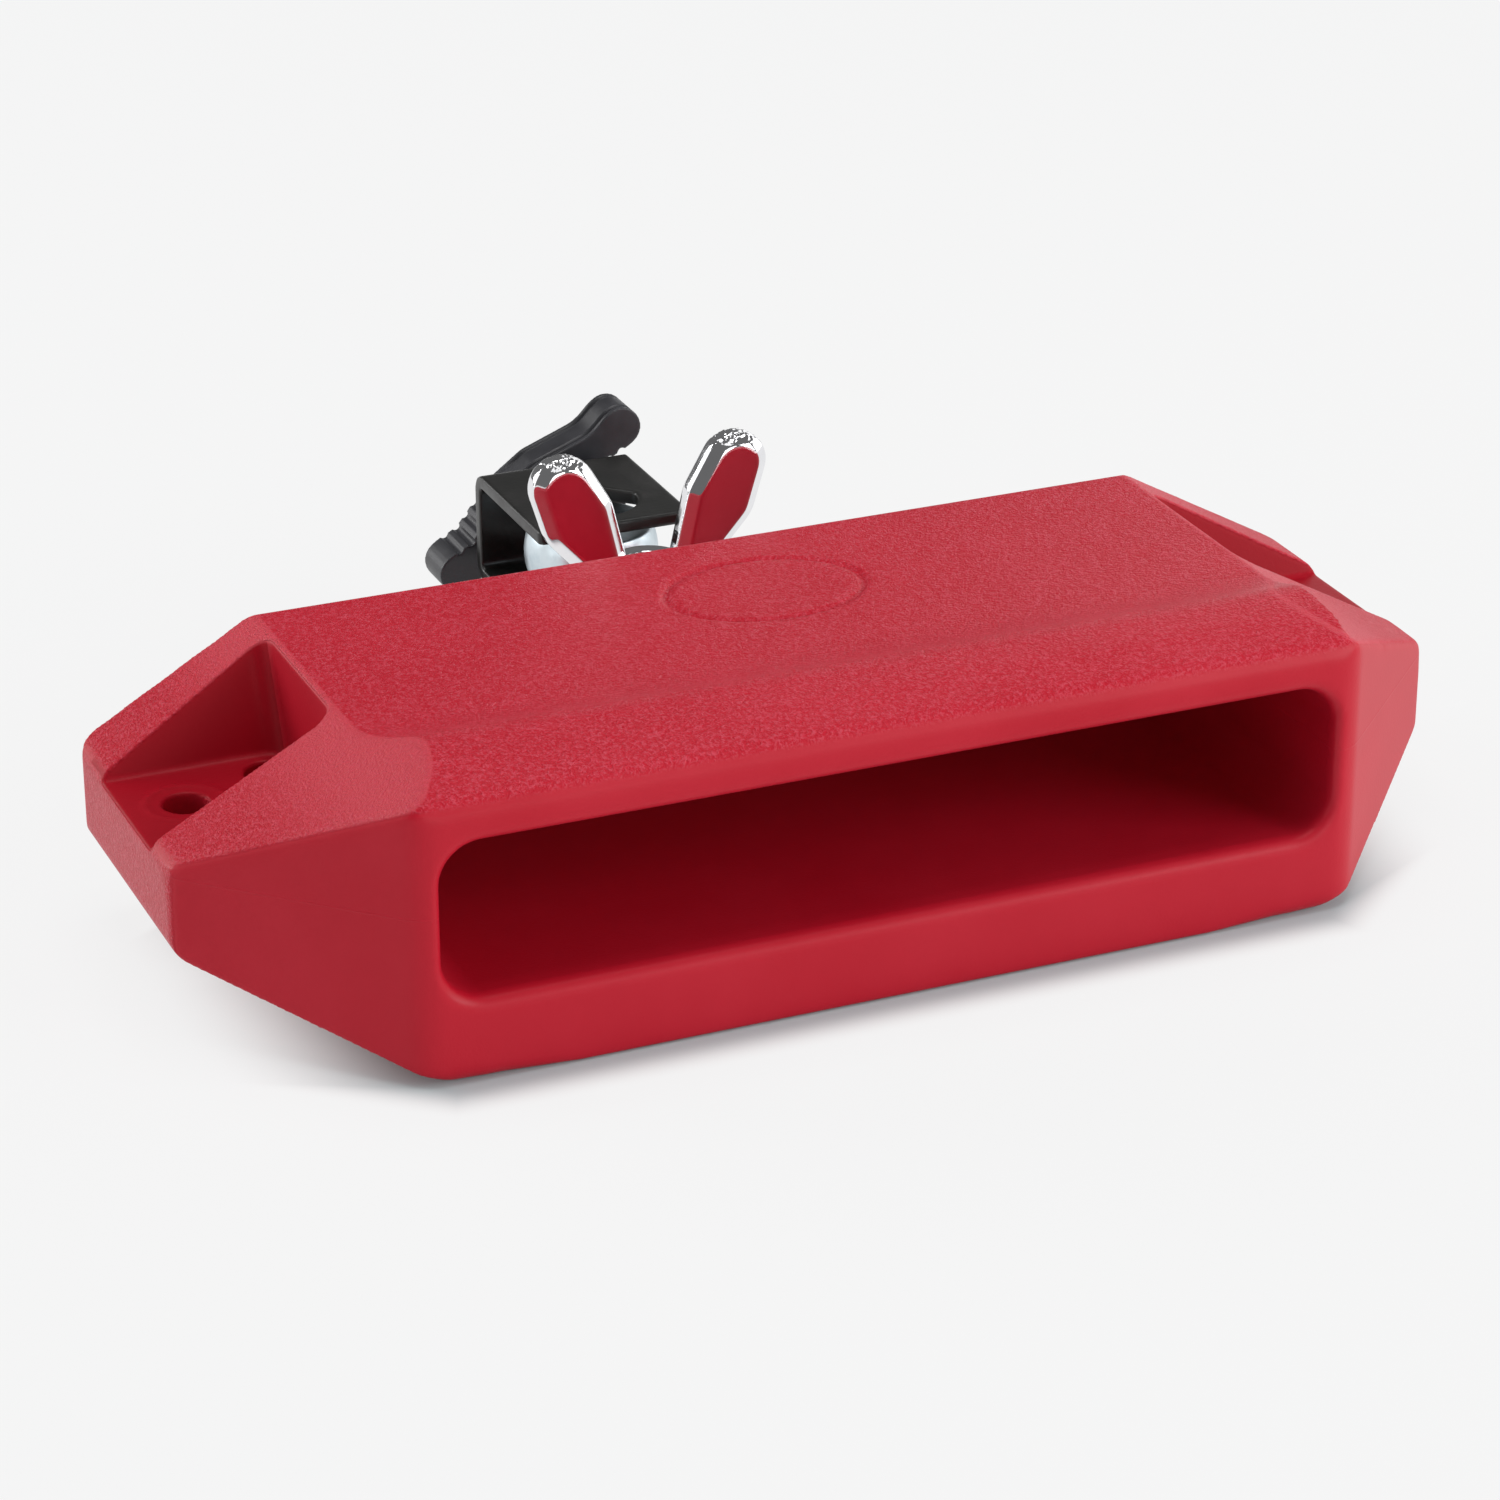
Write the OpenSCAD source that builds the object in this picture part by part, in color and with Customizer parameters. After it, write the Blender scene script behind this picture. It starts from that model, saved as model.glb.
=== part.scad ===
// Moulded percussion block with a slotted chamber and a rod clamp on its back.
// Origin: centre of the block's flat base. +X runs along the block, the slot
// faces -Y, the clamp stands behind the block on the +Y side, +Z is up.

/* [Block outline] */
// Overall length of the block, end face to end face
block_length = 250; // [236:1:280]
// Depth of the block, slot face to back face
block_depth = 93.5; // [88:0.5:110]
// Height of the flat top above the base
block_height = 53.6; // [51:0.2:60]
// Length of the flat top between the sloped shoulders
top_length = 180; // [179:1:190]
// Length of the flat base
base_length = 171; // [150:1:180]
// Length of the flat slot face
front_length = 180; // [179:1:190]
// Height of the lower edge of an end face
end_low = 17.2; // [14:0.2:22]
// Height of the upper edge of an end face
end_high = 34.4; // [34:0.2:38]
// Distance of the end faces behind the slot face
end_setback = 34.4; // [28:0.2:38]
// Distance of an end face's rear corner in front of the back face
end_back_setback = 1.7; // [0.5:0.1:4]
// Rounding of the upright edges beside the slot face
front_corner_r = 9; // [2:0.5:14]
// Rounding of the upright edges of the end faces
end_corner_r = 4.5; // [1:0.5:8]
// Rounding of the upper and lower edges of the end faces
end_edge_r = 4; // [1:0.5:7]
// Rounding of the long edges of the base
base_edge_r = 3; // [1:0.5:6]
// Rounding of the rear edge of the flat top
back_edge_r = 1.5; // [0.5:0.5:4]

/* [Striking rib] */
// Height of the rib's crest line above the flat top, before rounding
rib_rise = 4.1; // [3.5:0.1:6]
// Distance of the crest line behind the slot face
rib_crest = 20.2; // [18:0.1:21]
// Distance of the rib's rear foot behind the slot face
rib_foot = 31.2; // [31:0.1:38]
// Depth of the rib's nose below the flat top, before rounding
rib_nose_drop = 0.15; // [0:0.05:1]
// Distance of the bend in the rib's front slope behind the slot face
rib_bend = 11; // [10:0.1:12]
// Height of that bend above the flat top
rib_bend_rise = 3; // [2.6:0.1:3.2]
// Rounding of the nose above the slot
rib_nose_r = 5; // [2:0.5:6]
// Rounding of the bend in the front slope
rib_bend_r = 30; // [5:1:35]
// Rounding over the crest
rib_crest_r = 14; // [6:1:20]
// Hollow rounding at the rear foot
rib_foot_r = 40; // [8:1:40]
// Rounding of the top edge of the rib's upright right-hand end
rib_end_r = 1.5; // [0.5:0.1:2.5]

/* [Slot and chamber] */
// Width of the slot and of the chamber behind it
slot_width = 173.3; // [150:0.1:173.3]
// Height of the lower lip above the base
slot_low = 16; // [12:0.5:18]
// Height of the upper lip above the base
slot_high = 45.4; // [42:0.2:46]
// Corner radius of the slot
slot_r = 7.5; // [4:0.5:10]
// Thickness of the chamber's rear wall
rear_wall = 5; // [3:0.5:30]
// Radius of the rounded lip all round the slot
lip_r = 2.5; // [0.5:0.1:3]

/* [End pockets] */
// Height of the pocket floors above the base
pocket_floor = 33.1; // [30:0.1:33.5]
// Distance of the pockets' inner walls from the middle of the block
pocket_wall_x = 90.5; // [90.2:0.1:94]
// Distance of a pocket's front wall behind the slot face
pocket_front = 45; // [42:0.5:48]
// Thickness of the gusset behind a pocket, at the pocket's floor
gusset_thick = 18.2; // [16:0.1:21]
// Thickness of the same gusset at the height of the flat top
gusset_top_thick = 9.8; // [9:0.1:14]
// Radius of the pockets' upright corners
pocket_r = 4; // [2:0.5:6]
// Radius of the screw holes in the pocket floors
screw_hole_r = 4.3; // [3:0.1:4.5]
// Distance of the outer screw hole inside the end face
outer_hole_inset = 11.6; // [10:0.1:14]
// Distance of the outer screw hole in front of the pocket's rear wall
outer_hole_gap = 14.1; // [11:0.1:17]
// Distance of the inner screw hole inside the end face
inner_hole_inset = 29.2; // [27:0.1:29.5]
// Distance of the inner screw hole in front of the pocket's rear wall
inner_hole_gap = 6.7; // [6:0.1:9]
// Radius of the raised ring round the outer screw hole
boss_ring_r = 7.8; // [6:0.1:8.5]
// Width of that ring
boss_ring_width = 0.8; // [0.4:0.1:1.2]
// Height of that ring above the floor
boss_ring_rise = 0.3; // [0.2:0.1:0.6]

/* [Rear lug] */
// Distance of the pivot axis behind the back face
lug_reach = 27.5; // [25:0.5:32]
// Height of the underside of the lug above the base
lug_low = 20.25; // [19.5:0.05:22]
// Thickness of the lug
lug_thick = 7.2; // [6.5:0.05:7.5]
// Radius of the lug's free end
lug_end_r = 12.5; // [11:0.5:13]
// Half width of the lug where it leaves the block
lug_root_half = 18; // [15:0.5:24]
// Depth by which the lug's root is moulded into the back wall
lug_root_sink = 2; // [1:0.5:4]

/* [Clamp bracket] */
// Width of the steel strip
strip_width = 32.5; // [30:0.5:34]
// Thickness of the steel strip
strip_thick = 2.75; // [2:0.05:3]
// Clear height between the two plates
channel_height = 18; // [17.6:0.1:18.6]
// Distance of the top plate's front edge behind the pivot axis
plate_start = 17.5; // [17.3:0.1:18]
// Distance of the back flange's outer face behind the pivot axis
flange_reach = 55.5; // [55:0.5:58]
// Inner radius of the two bends
bend_r = 1.5; // [1:0.1:3]
// Rounding of the top plate's free corners
plate_corner_r = 1.5; // [0.5:0.1:3]
// Distance of the rod holes' centre behind the pivot axis
vee_reach = 31; // [30.5:0.1:32]
// Half width of the rod holes, and length of their V
vee_r = 9.5; // [9.2:0.1:10.5]

/* [Rod eye and handle] */
// Radius of the bore that takes the rod
eye_bore_r = 6.6; // [6:0.05:6.7]
// Radius of the ball that the eye is forged from
eye_outer_r = 13.7; // [12.5:0.1:13.7]
// Height of the eye
eye_height = 11.3; // [9:0.1:12]
// Distance of the eye's centre behind the centre of the rod holes, at rest
eye_rest = 0.4; // [0:0.05:0.5]
// Height of the eye's axis above the bracket's lower plate
eye_axis_height = 9.85; // [9.3:0.05:10.2]
// Length of the eye's threaded shank, from the eye's centre
shank_length = 35; // [33:0.5:36]
// Length of the T-handle, tip to tip
handle_length = 54; // [48:1:56]
// Depth of the T-handle's wings along the shank
handle_depth = 10; // [8:0.5:11]
// Half thickness of the wings at their narrowest
handle_waist = 3.6; // [3.2:0.1:4]
// Half thickness of the wings at their tips
handle_tip = 4.4; // [4:0.1:4.8]
// Half thickness of the handle over its hub
handle_hub_half = 7; // [6.8:0.1:8]
// Radius of the round boss between the handle and its washer
handle_boss_r = 6.7; // [6.2:0.1:6.7]
// Angle of the handle's wings at rest
handle_tilt = 36.5; // [0:0.5:60]
// Number of grip grooves on each wing
groove_count = 5; // [0:1:6]
// Radius of a grip groove
groove_r = 0.9; // [0.4:0.1:1.2]
// Distance from one groove to the next
groove_pitch = 3; // [2.4:0.1:3]

/* [Wing nut] */
// Radius of the hub at its foot
hub_foot_r = 9; // [8:0.1:10]
// Radius of the hub at its top
hub_top_r = 7.6; // [6.5:0.1:8]
// Height of the hub
hub_height = 8.3; // [7.5:0.1:8.6]
// Half width of a wing at its tip
wing_tip_r = 6.6; // [6:0.1:7]
// Half width of a wing at its widest
wing_belly_r = 7.5; // [7:0.1:7.8]
// Distance of the middle of that width from the axis
wing_belly_out = 15; // [14.6:0.1:15.2]
// Height of the same point above the nut's foot
wing_belly_up = 19.2; // [18.6:0.1:20.5]
// Distance from there to the centre of the wing's round tip
wing_length = 7.75; // [7:0.05:9]
// Outward lean of the wings
wing_lean = 23.6; // [18:0.1:25]
// Half width of a wing where it runs into the hub
wing_root_r = 3; // [2.8:0.1:3.2]
// Distance of the middle of that width from the axis
wing_root_out = 6.6; // [6:0.1:6.8]
// Thickness of a wing between its flat faces
wing_thick = 6.4; // [5:0.1:6.6]
// Thickness of a wing at its outer rim
wing_rim = 3; // [2:0.1:4]
// Width of the bevel round a wing's flat faces
wing_bevel = 2.4; // [1.6:0.1:2.6]

/* [Fasteners] */
// Radius of the pivot bolt and of the eye's shank
bolt_r = 4; // [3.9:0.05:4]
// Radius of the pivot bolt's domed head
head_r = 9; // [8:0.1:10]
// Height of the domed head
head_height = 4.2; // [3:0.1:5]
// Across flats of the square neck under the head
neck_width = 8; // [8:0.1:9]
// Length of the pivot bolt above the bracket's lower plate
bolt_rise = 18.8; // [18:0.1:19.5]
// Outer radius of the flat washer on the lug
washer_r = 9.5; // [8:0.1:11]
// Thickness of the flat washers
washer_thick = 1.6; // [1:0.1:2]
// Outer radius of the split lock washer
lock_r = 7.4; // [6.8:0.1:8]
// Thickness of the split lock washer
lock_thick = 2; // [1.5:0.1:2.5]
// Width of the lock washer's split
lock_split = 1.2; // [0.6:0.1:2]
// Outer radius of the washer under the T-handle
handle_washer_r = 8; // [7:0.1:9]
// Outer radius of the threaded insert in the T-handle
insert_r = 5.6; // [5.4:0.1:5.8]
// Length of the threaded insert
insert_length = 9.7; // [7:0.1:10]

/* [Clearances] */
// Radial running clearance of threads and of the pivot
run_gap = 0.06; // [0.04:0.01:0.1]
// Radial clearance of washers and of the hole in the back flange
hole_gap = 0.3; // [0.2:0.05:0.4]
// Gap between flat faces that turn on each other
face_gap = 0.05; // [0.02:0.01:0.1]
// Gap between the lug and the bracket's lower plate
swivel_gap = 0.1; // [0.05:0.01:0.2]

/* [Hidden] */

// Number of straight steps in each rounded outline corner
arc_steps = 6;
// Overrun of every cut past the surface that it opens
over = 1;
// Thickness of the slices that blended shapes are drawn between
slice = 0.02;

front = -block_depth / 2;
back = block_depth / 2;
block_top = block_height + rib_rise;
shoulder_rise = block_height - end_high;
shoulder_run = (block_length - top_length) / 2;
shoulder_share = shoulder_run / shoulder_rise;
chamber_depth = block_depth - rear_wall;
slot_height = slot_high - slot_low;
slot_mid = (slot_high + slot_low) / 2;

pivot_y = back + lug_reach;
pocket_rear = back - gusset_thick;
lug_top = lug_low + lug_thick;
plate_low = lug_low - swivel_gap;
foot_z = plate_low - strip_thick;
plate_high = plate_low + channel_height;
bracket_top = plate_high + strip_thick;
strip_half = strip_width / 2;
flange_y = pivot_y + flange_reach;
flange_in = flange_y - strip_thick;
vee_y = pivot_y + vee_reach;

eye_y = vee_y + eye_rest;
axis_z = plate_low + eye_axis_height;
hub_start = flange_y + washer_thick + face_gap;
hub_end = hub_start + washer_thick + insert_length + washer_thick;
wing_y = hub_end - handle_depth;

washer_z = lug_top;
lock_z = washer_z + washer_thick + face_gap;
nut_z = lock_z + lock_thick + face_gap;

// Direction of a vector, as a vector of length one
function unit(v) = v / norm(v);

// Points of the arc that rounds corner b of the outline a, b, c to radius r
function corner(a, b, c, r) =
    let (
        u = unit(a - b),
        w = unit(c - b),
        half_angle = acos(u * w) / 2,
        centre = b + unit(u + w) * r / sin(half_angle),
        first = b + u * r / tan(half_angle) - centre,
        last = b + w * r / tan(half_angle) - centre,
        start = atan2(first[1], first[0]),
        turn = (atan2(last[1], last[0]) - start + 540) % 360 - 180
    )
    [for (i = [0:arc_steps]) centre + r * [cos(start + turn * i / arc_steps), sin(start + turn * i / arc_steps)]];

// Outline through the given points, each rounded to its own radius, or left sharp at zero
function rounded(points, radii) =
    let (n = len(points))
    [for (i = [0:n - 1])
        each radii[i] == 0 ? [points[i]] : corner(points[(i + n - 1) % n], points[i], points[(i + 1) % n], radii[i])];

// Flat outline drawn in X and Z, pulled back along +Y from y by depth
module along_y(y, depth) {
    translate([0, y + depth, 0])
        rotate([90, 0, 0])
            linear_extrude(height = depth)
                children();
}

// Flat outline drawn in Y and Z, pulled along X by width about the middle
module along_x(width) {
    rotate([90, 0, 90])
        linear_extrude(height = width, center = true)
            children();
}

// Rectangle with rounded corners, about the origin
module round_rect(w, h, r) {
    square([w, h - 2 * r], center = true);
    square([w - 2 * r, h], center = true);
    for (sx = [-1, 1], sy = [-1, 1])
        translate([sx * (w / 2 - r), sy * (h / 2 - r)])
            circle(r = r, $fn = 32);
}

// Block seen from above: slot face, two chamfered front corners, end faces, back
module block_plan() {
    half = block_length / 2;
    nose = front_length / 2;
    tail = top_length / 2;
    polygon(rounded(
        [[-nose, front], [nose, front], [half, front + end_setback], [half, back - end_back_setback],
            [tail, back], [-tail, back], [-half, back - end_back_setback], [-half, front + end_setback]],
        [front_corner_r, front_corner_r, end_corner_r, end_corner_r, 0, 0, end_corner_r, end_corner_r]));
}

// Block seen from the front: base, undercut ends, end faces, sloped shoulders. The left shoulder cuts the rib
// off with its own slope, and the rib's right-hand end stands upright on the other shoulder's top edge.
module block_elevation() {
    half = block_length / 2;
    foot = base_length / 2;
    ridge = top_length / 2;
    polygon(rounded(
        [[-foot, 0], [foot, 0], [half, end_low], [half, end_high], [ridge, block_height], [ridge, block_top],
            [rib_rise * shoulder_share - ridge, block_top], [-half, end_high], [-half, end_low]],
        [base_edge_r, base_edge_r, end_edge_r, end_edge_r, 0, rib_end_r, 0, end_edge_r, end_edge_r]));
}

// Block seen from the end: flat base and back, flat top, striking rib over the slot
module block_section() {
    polygon(rounded(
        [[front, 0], [back, 0], [back, block_height], [front + rib_foot, block_height],
            [front + rib_crest, block_top], [front + rib_bend, block_height + rib_bend_rise],
            [front, block_height - rib_nose_drop]],
        [base_edge_r, base_edge_r, back_edge_r, rib_foot_r, rib_crest_r, rib_bend_r, rib_nose_r]));
}

// Slice of the chamber at distance inset behind the slot face, wider than the slot by flare all round
module mouth_slice(inset, flare) {
    along_y(front + inset - slice / 2, slice)
        round_rect(slot_width + 2 * flare, slot_height + 2 * flare, slot_r + flare);
}

// Resonance chamber with its slot, and the rounded lip round the mouth
module chamber() {
    lip_steps = 3;
    translate([0, 0, slot_mid]) {
        along_y(front - over, chamber_depth + over)
            round_rect(slot_width, slot_height, slot_r);
        for (i = [0:lip_steps - 1])
            hull()
                for (angle = [i, i + 1] * 90 / lip_steps)
                    mouth_slice(lip_r * (1 - cos(angle)), lip_r * (1 - sin(angle)));
    }
}

// Plan of a pocket whose rear wall stands at y
module pocket_plan(y) {
    wall = pocket_wall_x;
    open_end = block_length / 2 + pocket_r + over;
    polygon(rounded(
        [[wall, front + pocket_front], [open_end, front + pocket_front], [open_end, y], [wall, y]],
        [pocket_r, 0, 0, pocket_r]));
}

// Pocket in the right-hand end: flat floor, upright front wall, leaning rear wall
module pocket() {
    lean_share = (gusset_thick - gusset_top_thick) / (block_height - pocket_floor);
    lift = block_top + over - pocket_floor;
    hull() {
        translate([0, 0, pocket_floor])
            linear_extrude(height = slice)
                pocket_plan(pocket_rear);
        translate([0, 0, pocket_floor + lift])
            linear_extrude(height = slice)
                pocket_plan(pocket_rear + lift * lean_share);
    }
}

// The two screw holes through the right-hand pocket floor
module screw_holes() {
    half = block_length / 2;
    for (spot = [[half - outer_hole_inset, pocket_rear - outer_hole_gap],
            [half - inner_hole_inset, pocket_rear - inner_hole_gap]])
        translate([spot[0], spot[1], -over])
            cylinder(r = screw_hole_r, h = pocket_floor + 2 * over, $fn = 48);
}

// Low ring moulded round the outer screw hole
module boss_ring() {
    translate([block_length / 2 - outer_hole_inset, pocket_rear - outer_hole_gap, pocket_floor - over])
        difference() {
            cylinder(r = boss_ring_r, h = over + boss_ring_rise, $fn = 64);
            translate([0, 0, -over])
                cylinder(r = boss_ring_r - boss_ring_width, h = boss_ring_rise + 3 * over, $fn = 64);
        }
}

// Lug on the back face that carries the clamp
module lug() {
    translate([0, 0, lug_low])
        linear_extrude(height = lug_thick) {
            translate([0, pivot_y])
                circle(r = lug_end_r, $fn = 96);
            polygon([[-lug_root_half, back - lug_root_sink], [lug_root_half, back - lug_root_sink],
                [lug_root_half, back], [lug_end_r, pivot_y], [-lug_end_r, pivot_y], [-lug_root_half, back]]);
        }
}

module block_body() {
    color("crimson")
        difference() {
            union() {
                difference() {
                    intersection() {
                        linear_extrude(height = block_top + over)
                            block_plan();
                        along_y(front - over, block_depth + 2 * over)
                            block_elevation();
                        along_x(block_length + 2 * over)
                            block_section();
                    }
                    chamber();
                    for (side = [0, 1])
                        mirror([side, 0, 0])
                            pocket();
                }
                for (side = [0, 1])
                    mirror([side, 0, 0])
                        boss_ring();
                lug();
            }
            for (side = [0, 1])
                mirror([side, 0, 0])
                    screw_holes();
            translate([0, pivot_y, lug_low - over])
                cylinder(r = bolt_r + run_gap, h = lug_thick + 2 * over, $fn = 64);
        }
}

// Bent strip seen from the end: lower plate, back flange, upper plate
module strip_section() {
    outer_r = bend_r + strip_thick;
    polygon(rounded(
        [[pivot_y, foot_z], [flange_y, foot_z], [flange_y, bracket_top], [pivot_y + plate_start, bracket_top],
            [pivot_y + plate_start, plate_high], [flange_in, plate_high], [flange_in, plate_low],
            [pivot_y, plate_low]],
        [0, outer_r, outer_r, 0, 0, bend_r, bend_r, 0]));
}

// Rod hole: round towards the block, a V towards the handle
module vee_hole() {
    translate([0, vee_y]) {
        intersection() {
            circle(r = vee_r, $fn = 96);
            translate([-vee_r, -vee_r])
                square([2 * vee_r, vee_r]);
        }
        polygon([[-vee_r, 0], [vee_r, 0], [0, vee_r]]);
    }
}

// Top plate's free corners, cut away to leave them rounded
module plate_corners() {
    for (side = [-1, 1])
        translate([side * (strip_half - plate_corner_r), pivot_y + plate_start + plate_corner_r, plate_high - over])
            difference() {
                linear_extrude(height = strip_thick + 2 * over)
                    polygon([[0, 0], [0, -plate_corner_r - over], [side * (plate_corner_r + over), -plate_corner_r - over],
                        [side * (plate_corner_r + over), 0]]);
                translate([0, 0, -over])
                    cylinder(r = plate_corner_r, h = strip_thick + 4 * over, $fn = 32);
            }
}

module clamp_bracket() {
    hole_width = neck_width + 2 * run_gap;
    color([0.12, 0.12, 0.13])
        difference() {
            union() {
                along_x(strip_width)
                    strip_section();
                translate([0, pivot_y, foot_z])
                    cylinder(r = strip_half, h = strip_thick, $fn = 96);
            }
            translate([0, 0, foot_z - over])
                linear_extrude(height = bracket_top - foot_z + 2 * over)
                    vee_hole();
            plate_corners();
            translate([-hole_width / 2, pivot_y - hole_width / 2, foot_z - over])
                cube([hole_width, hole_width, strip_thick + 2 * over]);
            translate([0, flange_in - over, axis_z])
                rotate([-90, 0, 0])
                    cylinder(r = bolt_r + hole_gap, h = strip_thick + 2 * over, $fn = 64);
        }
}

// Domed head seen in half section
module dome_outline() {
    dome_share = 0.35;
    shoulder = head_height * dome_share;
    polygon(concat([[0, 0], [head_r, 0]],
        [for (i = [0:arc_steps])
            [head_r * cos(i * 90 / arc_steps), -shoulder - (head_height - shoulder) * sin(i * 90 / arc_steps)]]));
}

module pivot_bolt() {
    tip = bolt_r / 5;
    rise = bolt_rise + strip_thick;
    color("silver")
        translate([0, pivot_y, foot_z]) {
            rotate_extrude($fn = 64)
                dome_outline();
            translate([-neck_width / 2, -neck_width / 2, -over])
                cube([neck_width, neck_width, strip_thick + over - face_gap]);
            translate([0, 0, -over])
                cylinder(r = bolt_r, h = rise + over - tip, $fn = 64);
            translate([0, 0, rise - tip])
                cylinder(r1 = bolt_r, r2 = bolt_r - tip, h = tip, $fn = 64);
        }
}

// Flat ring of outer radius r, standing on the plane z = 0
module washer(r, hole_r, thick) {
    difference() {
        cylinder(r = r, h = thick, $fn = 64);
        translate([0, 0, -over])
            cylinder(r = hole_r, h = thick + 2 * over, $fn = 64);
    }
}

module flat_washer() {
    color("gainsboro")
        translate([0, pivot_y, washer_z])
            washer(washer_r, bolt_r + hole_gap, washer_thick);
}

module lock_washer() {
    color("silver")
        translate([0, pivot_y, lock_z])
            difference() {
                washer(lock_r, bolt_r + hole_gap, lock_thick);
                rotate([0, 35, 0])
                    translate([-lock_split / 2, 0, -lock_r])
                        cube([lock_split, 2 * lock_r, 2 * lock_r]);
            }
}

// Round bead of a wing: thin at its rim, full thickness over its flat face
module wing_bead(out, up, r) {
    translate([out, 0, up])
        rotate([90, 0, 0]) {
            cylinder(r = r, h = wing_rim, center = true, $fn = 36);
            cylinder(r = r - wing_bevel, h = wing_thick, center = true, $fn = 36);
        }
}

// One wing of the nut, leaning out to +X
module wing() {
    tip_out = wing_belly_out + wing_length * sin(wing_lean);
    tip_up = wing_belly_up + wing_length * cos(wing_lean);
    hull() {
        wing_bead(wing_belly_out, wing_belly_up, wing_belly_r);
        wing_bead(tip_out, tip_up, wing_tip_r);
    }
    hull() {
        wing_bead(wing_belly_out, wing_belly_up, wing_belly_r);
        wing_bead(wing_root_out, wing_root_r + face_gap, wing_root_r);
    }
}

module wing_nut() {
    rim = hub_foot_r - hub_top_r;
    color("gainsboro")
        translate([0, pivot_y, nut_z])
            difference() {
                union() {
                    cylinder(r = hub_foot_r, h = rim, $fn = 64);
                    translate([0, 0, rim])
                        cylinder(r1 = hub_foot_r, r2 = hub_top_r, h = hub_height - rim, $fn = 64);
                    for (side = [0, 1])
                        mirror([side, 0, 0])
                            wing();
                }
                translate([0, 0, -over])
                    cylinder(r = bolt_r + run_gap, h = hub_height + 2 * over, $fn = 64);
            }
}

// Forged eye: a ball cut flat above and below, with the bore through it
module eye() {
    chamfer = eye_bore_r / 10;
    half = eye_height / 2;
    difference() {
        intersection() {
            sphere(r = eye_outer_r, $fn = 96);
            cylinder(r = eye_outer_r + over, h = eye_height, center = true, $fn = 96);
        }
        cylinder(r = eye_bore_r, h = eye_height + 2 * over, center = true, $fn = 96);
        for (side = [0, 1])
            mirror([0, 0, side])
                translate([0, 0, half - chamfer])
                    cylinder(r1 = eye_bore_r, r2 = eye_bore_r + 2 * chamfer, h = 2 * chamfer, $fn = 96);
    }
}

module eye_bolt() {
    tip = bolt_r / 5;
    root = (eye_bore_r + eye_outer_r) / 2;
    color("silver")
        translate([0, eye_y, axis_z]) {
            eye();
            rotate([-90, 0, 0]) {
                translate([0, 0, root])
                    cylinder(r = bolt_r, h = shank_length - root - tip, $fn = 64);
                translate([0, 0, shank_length - tip])
                    cylinder(r1 = bolt_r, r2 = bolt_r - tip, h = tip, $fn = 64);
            }
        }
}

module handle_washer() {
    color("gainsboro")
        translate([0, flange_y, axis_z])
            rotate([-90, 0, 0])
                washer(handle_washer_r, bolt_r + hole_gap, washer_thick);
}

// Upper edge of a handle wing: ends of the tip, waist and hub, as distance out and height
function wing_edge() =
    let (
        half = handle_length / 2,
        out_shares = [1, 0.79, 0.62, 0.16]
    )
    [[half * out_shares[0], handle_tip], [half * out_shares[1], handle_tip], [half * out_shares[2], handle_waist],
        [half * out_shares[3], handle_hub_half]];

// Handle seen along the shank: hub, waisted wings, thicker round tips
module handle_outline() {
    edge = wing_edge();
    last = len(edge) - 1;
    tip_share = 0.96;
    bend = handle_length / 6;
    radii = [handle_tip * tip_share, bend, bend, handle_hub_half];
    back_order = [for (i = [last:-1:0]) i];
    polygon(rounded(
        concat(edge, [for (i = back_order) [-edge[i][0], edge[i][1]]],
            [for (point = edge) -point], [for (i = back_order) [edge[i][0], -edge[i][1]]]),
        concat(radii, [for (i = back_order) radii[i]], radii, [for (i = back_order) radii[i]])));
}

// Grip grooves across one face of each wing, half sunk in its edge
module grip_grooves() {
    edge = wing_edge();
    first = handle_length / 2 - handle_tip - groove_pitch;
    for (turn = [0, 180], i = [0:1:groove_count - 1])
        rotate([0, turn, 0])
            translate([first - i * groove_pitch, wing_y - over, -lookup(first - i * groove_pitch, edge) - groove_r / 3])
                rotate([-90, 0, 0])
                    cylinder(r = groove_r, h = handle_depth + 2 * over, $fn = 24);
}

module t_handle() {
    pocket_start = hub_start + washer_thick;
    color([0.16, 0.16, 0.17])
        translate([0, 0, axis_z])
            rotate([0, -handle_tilt, 0])
                difference() {
                    union() {
                        difference() {
                            along_y(wing_y, handle_depth)
                                handle_outline();
                            grip_grooves();
                        }
                        translate([0, hub_start, 0])
                            rotate([-90, 0, 0])
                                cylinder(r = handle_boss_r, h = wing_y + over - hub_start, $fn = 96);
                    }
                    translate([0, pocket_start, 0])
                        rotate([-90, 0, 0])
                            cylinder(r = insert_r + face_gap, h = insert_length, $fn = 64);
                    translate([0, hub_start - over, 0])
                        rotate([-90, 0, 0])
                            cylinder(r = bolt_r + hole_gap, h = hub_end - hub_start + 2 * over, $fn = 64);
                }
}

module threaded_insert() {
    groove = insert_r / 14;
    color("goldenrod")
        translate([0, hub_start + washer_thick + face_gap, axis_z])
            rotate([-90, 0, 0])
                difference() {
                    cylinder(r = insert_r, h = insert_length - 2 * face_gap, $fn = 64);
                    translate([0, 0, -over])
                        cylinder(r = bolt_r + run_gap, h = insert_length + 2 * over, $fn = 64);
                    translate([0, 0, insert_length / 2 - groove])
                        difference() {
                            cylinder(r = insert_r + over, h = 2 * groove, $fn = 64);
                            translate([0, 0, -over])
                                cylinder(r = insert_r - groove, h = 2 * groove + 2 * over, $fn = 64);
                        }
                }
}

block_body();
clamp_bracket();
pivot_bolt();
flat_washer();
lock_washer();
wing_nut();
eye_bolt();
handle_washer();
t_handle();
threaded_insert();
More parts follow.
